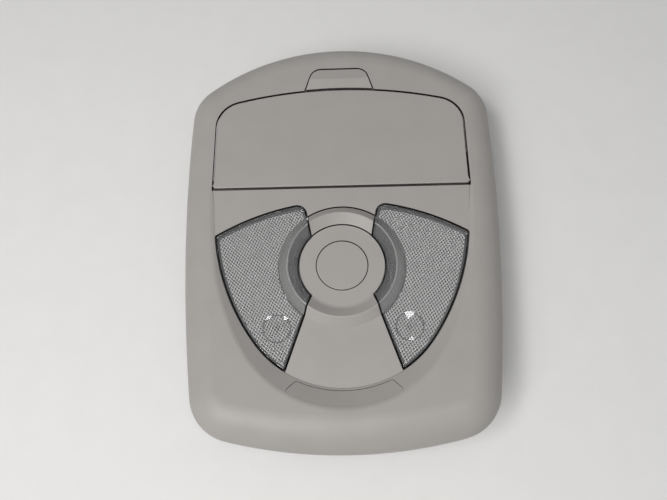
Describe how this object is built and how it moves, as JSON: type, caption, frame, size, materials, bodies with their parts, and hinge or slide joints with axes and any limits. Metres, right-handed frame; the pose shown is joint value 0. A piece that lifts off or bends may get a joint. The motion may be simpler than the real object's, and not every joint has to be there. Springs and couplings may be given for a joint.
{
  "type": "car interior light",
  "caption": "Overhead car light console with push lenses round a blank disc, a damped swing-out sunglasses bin and a release tab; fixed to a roof by screw towers and spring clips.",
  "frame": {"origin": "middle of the plane that the four screw towers stand on", "axes": "+Z out of the visible face, +Y towards the sunglasses lid, +X across"},
  "size_m": [0.2008, 0.27, 0.0576],
  "materials": {
    "grained_plastic": "fine spark grain, warm grey",
    "clear_lens": "clear moulded lens, prism grid inside",
    "housing_plastic": "plain moulded grey",
    "reflector_metal": "vacuum metallised",
    "bulb_glass": "festoon bulb",
    "strip_brass": "stamped strip",
    "black_plastic": "plain moulded black",
    "white_nylon": "natural nylon",
    "felt": "needle felt",
    "plated_steel": "zinc plated",
    "bumper_rubber": "soft moulded"
  },
  "bodies": {
    "console": {"bezel": "grained_plastic", "centre_panel": "grained_plastic", "switch_blank": "grained_plastic", "mic_blank": "grained_plastic", "lamp_housing": "housing_plastic", "reflector_left": "reflector_metal", "reflector_right": "reflector_metal", "bulb_left": "bulb_glass", "bulb_right": "bulb_glass", "ground_strip": "strip_brass", "supply_strip": "strip_brass", "feed_strip_left": "strip_brass", "feed_strip_right": "strip_brass", "connector_pins": "strip_brass", "plug_socket": "black_plastic", "switch_case_left": "black_plastic", "switch_case_right": "black_plastic", "damper_case": "black_plastic", "hinge_rod": "plated_steel", "button_pin": "plated_steel", "button_spring": "plated_steel", "lamp_screws": "plated_steel", "damper_screws": "plated_steel", "roof_clips": "plated_steel", "lid_bumpers": "bumper_rubber"},
    "lid": {"glasses_lid": "grained_plastic", "glasses_bin": "black_plastic", "bin_lining": "felt"},
    "damper": {"damper_gear": "white_nylon"},
    "button": {"release_button": "grained_plastic"},
    "left_lens": {"lens_left": "clear_lens"},
    "right_lens": {"lens_right": "clear_lens"},
    "left_plunger": {"switch_plunger_left": "white_nylon"},
    "right_plunger": {"switch_plunger_right": "white_nylon"}
  },
  "joints": [
    {"name": "lid_hinge", "type": "hinge", "parent": "console", "child": "lid", "pos_m": [0, 0.0277, 0.047], "axis": [1, 0, 0], "range_deg": [0, 60]},
    {"name": "damper_spin", "type": "hinge", "parent": "console", "child": "damper", "pos_m": [0.074, 0.0427, 0.02102], "axis": [1, 0, 0], "range_deg": [-241, 1]},
    {"name": "button_press", "type": "hinge", "parent": "console", "child": "button", "pos_m": [0, 0.1083, 0.045], "axis": [1, 0, 0], "range_deg": [0, 8], "stiffness_Nm_per_rad": 0.15, "springref_deg": -5.73, "deforming": ["button_spring"]},
    {"name": "lens_right_press", "type": "hinge", "parent": "console", "child": "right_lens", "pos_m": [0.02176, 0.00459, 0.0454], "axis": [0.938, -0.3466, 0], "range_deg": [0, 1.8], "stiffness_Nm_per_rad": 2, "springref_deg": -1.15},
    {"name": "lens_left_press", "type": "hinge", "parent": "console", "child": "left_lens", "pos_m": [-0.02176, 0.00459, 0.0454], "axis": [0.938, 0.3466, 0], "range_deg": [0, 1.8], "stiffness_Nm_per_rad": 2, "springref_deg": -1.15},
    {"name": "plunger_right_slide", "type": "slide", "parent": "console", "child": "right_plunger", "axis": [0, 0, -1], "range_m": [0, 0.002]},
    {"name": "plunger_left_slide", "type": "slide", "parent": "console", "child": "left_plunger", "axis": [0, 0, -1], "range_m": [0, 0.002]}
  ],
  "couplings": [
    {"joint": "damper_spin", "follows": "lid_hinge", "ratio": -4},
    {"joint": "plunger_right_slide", "follows": "lens_right_press", "m_per_rad": 0.059937},
    {"joint": "plunger_left_slide", "follows": "lens_left_press", "m_per_rad": 0.059937}
  ]
}
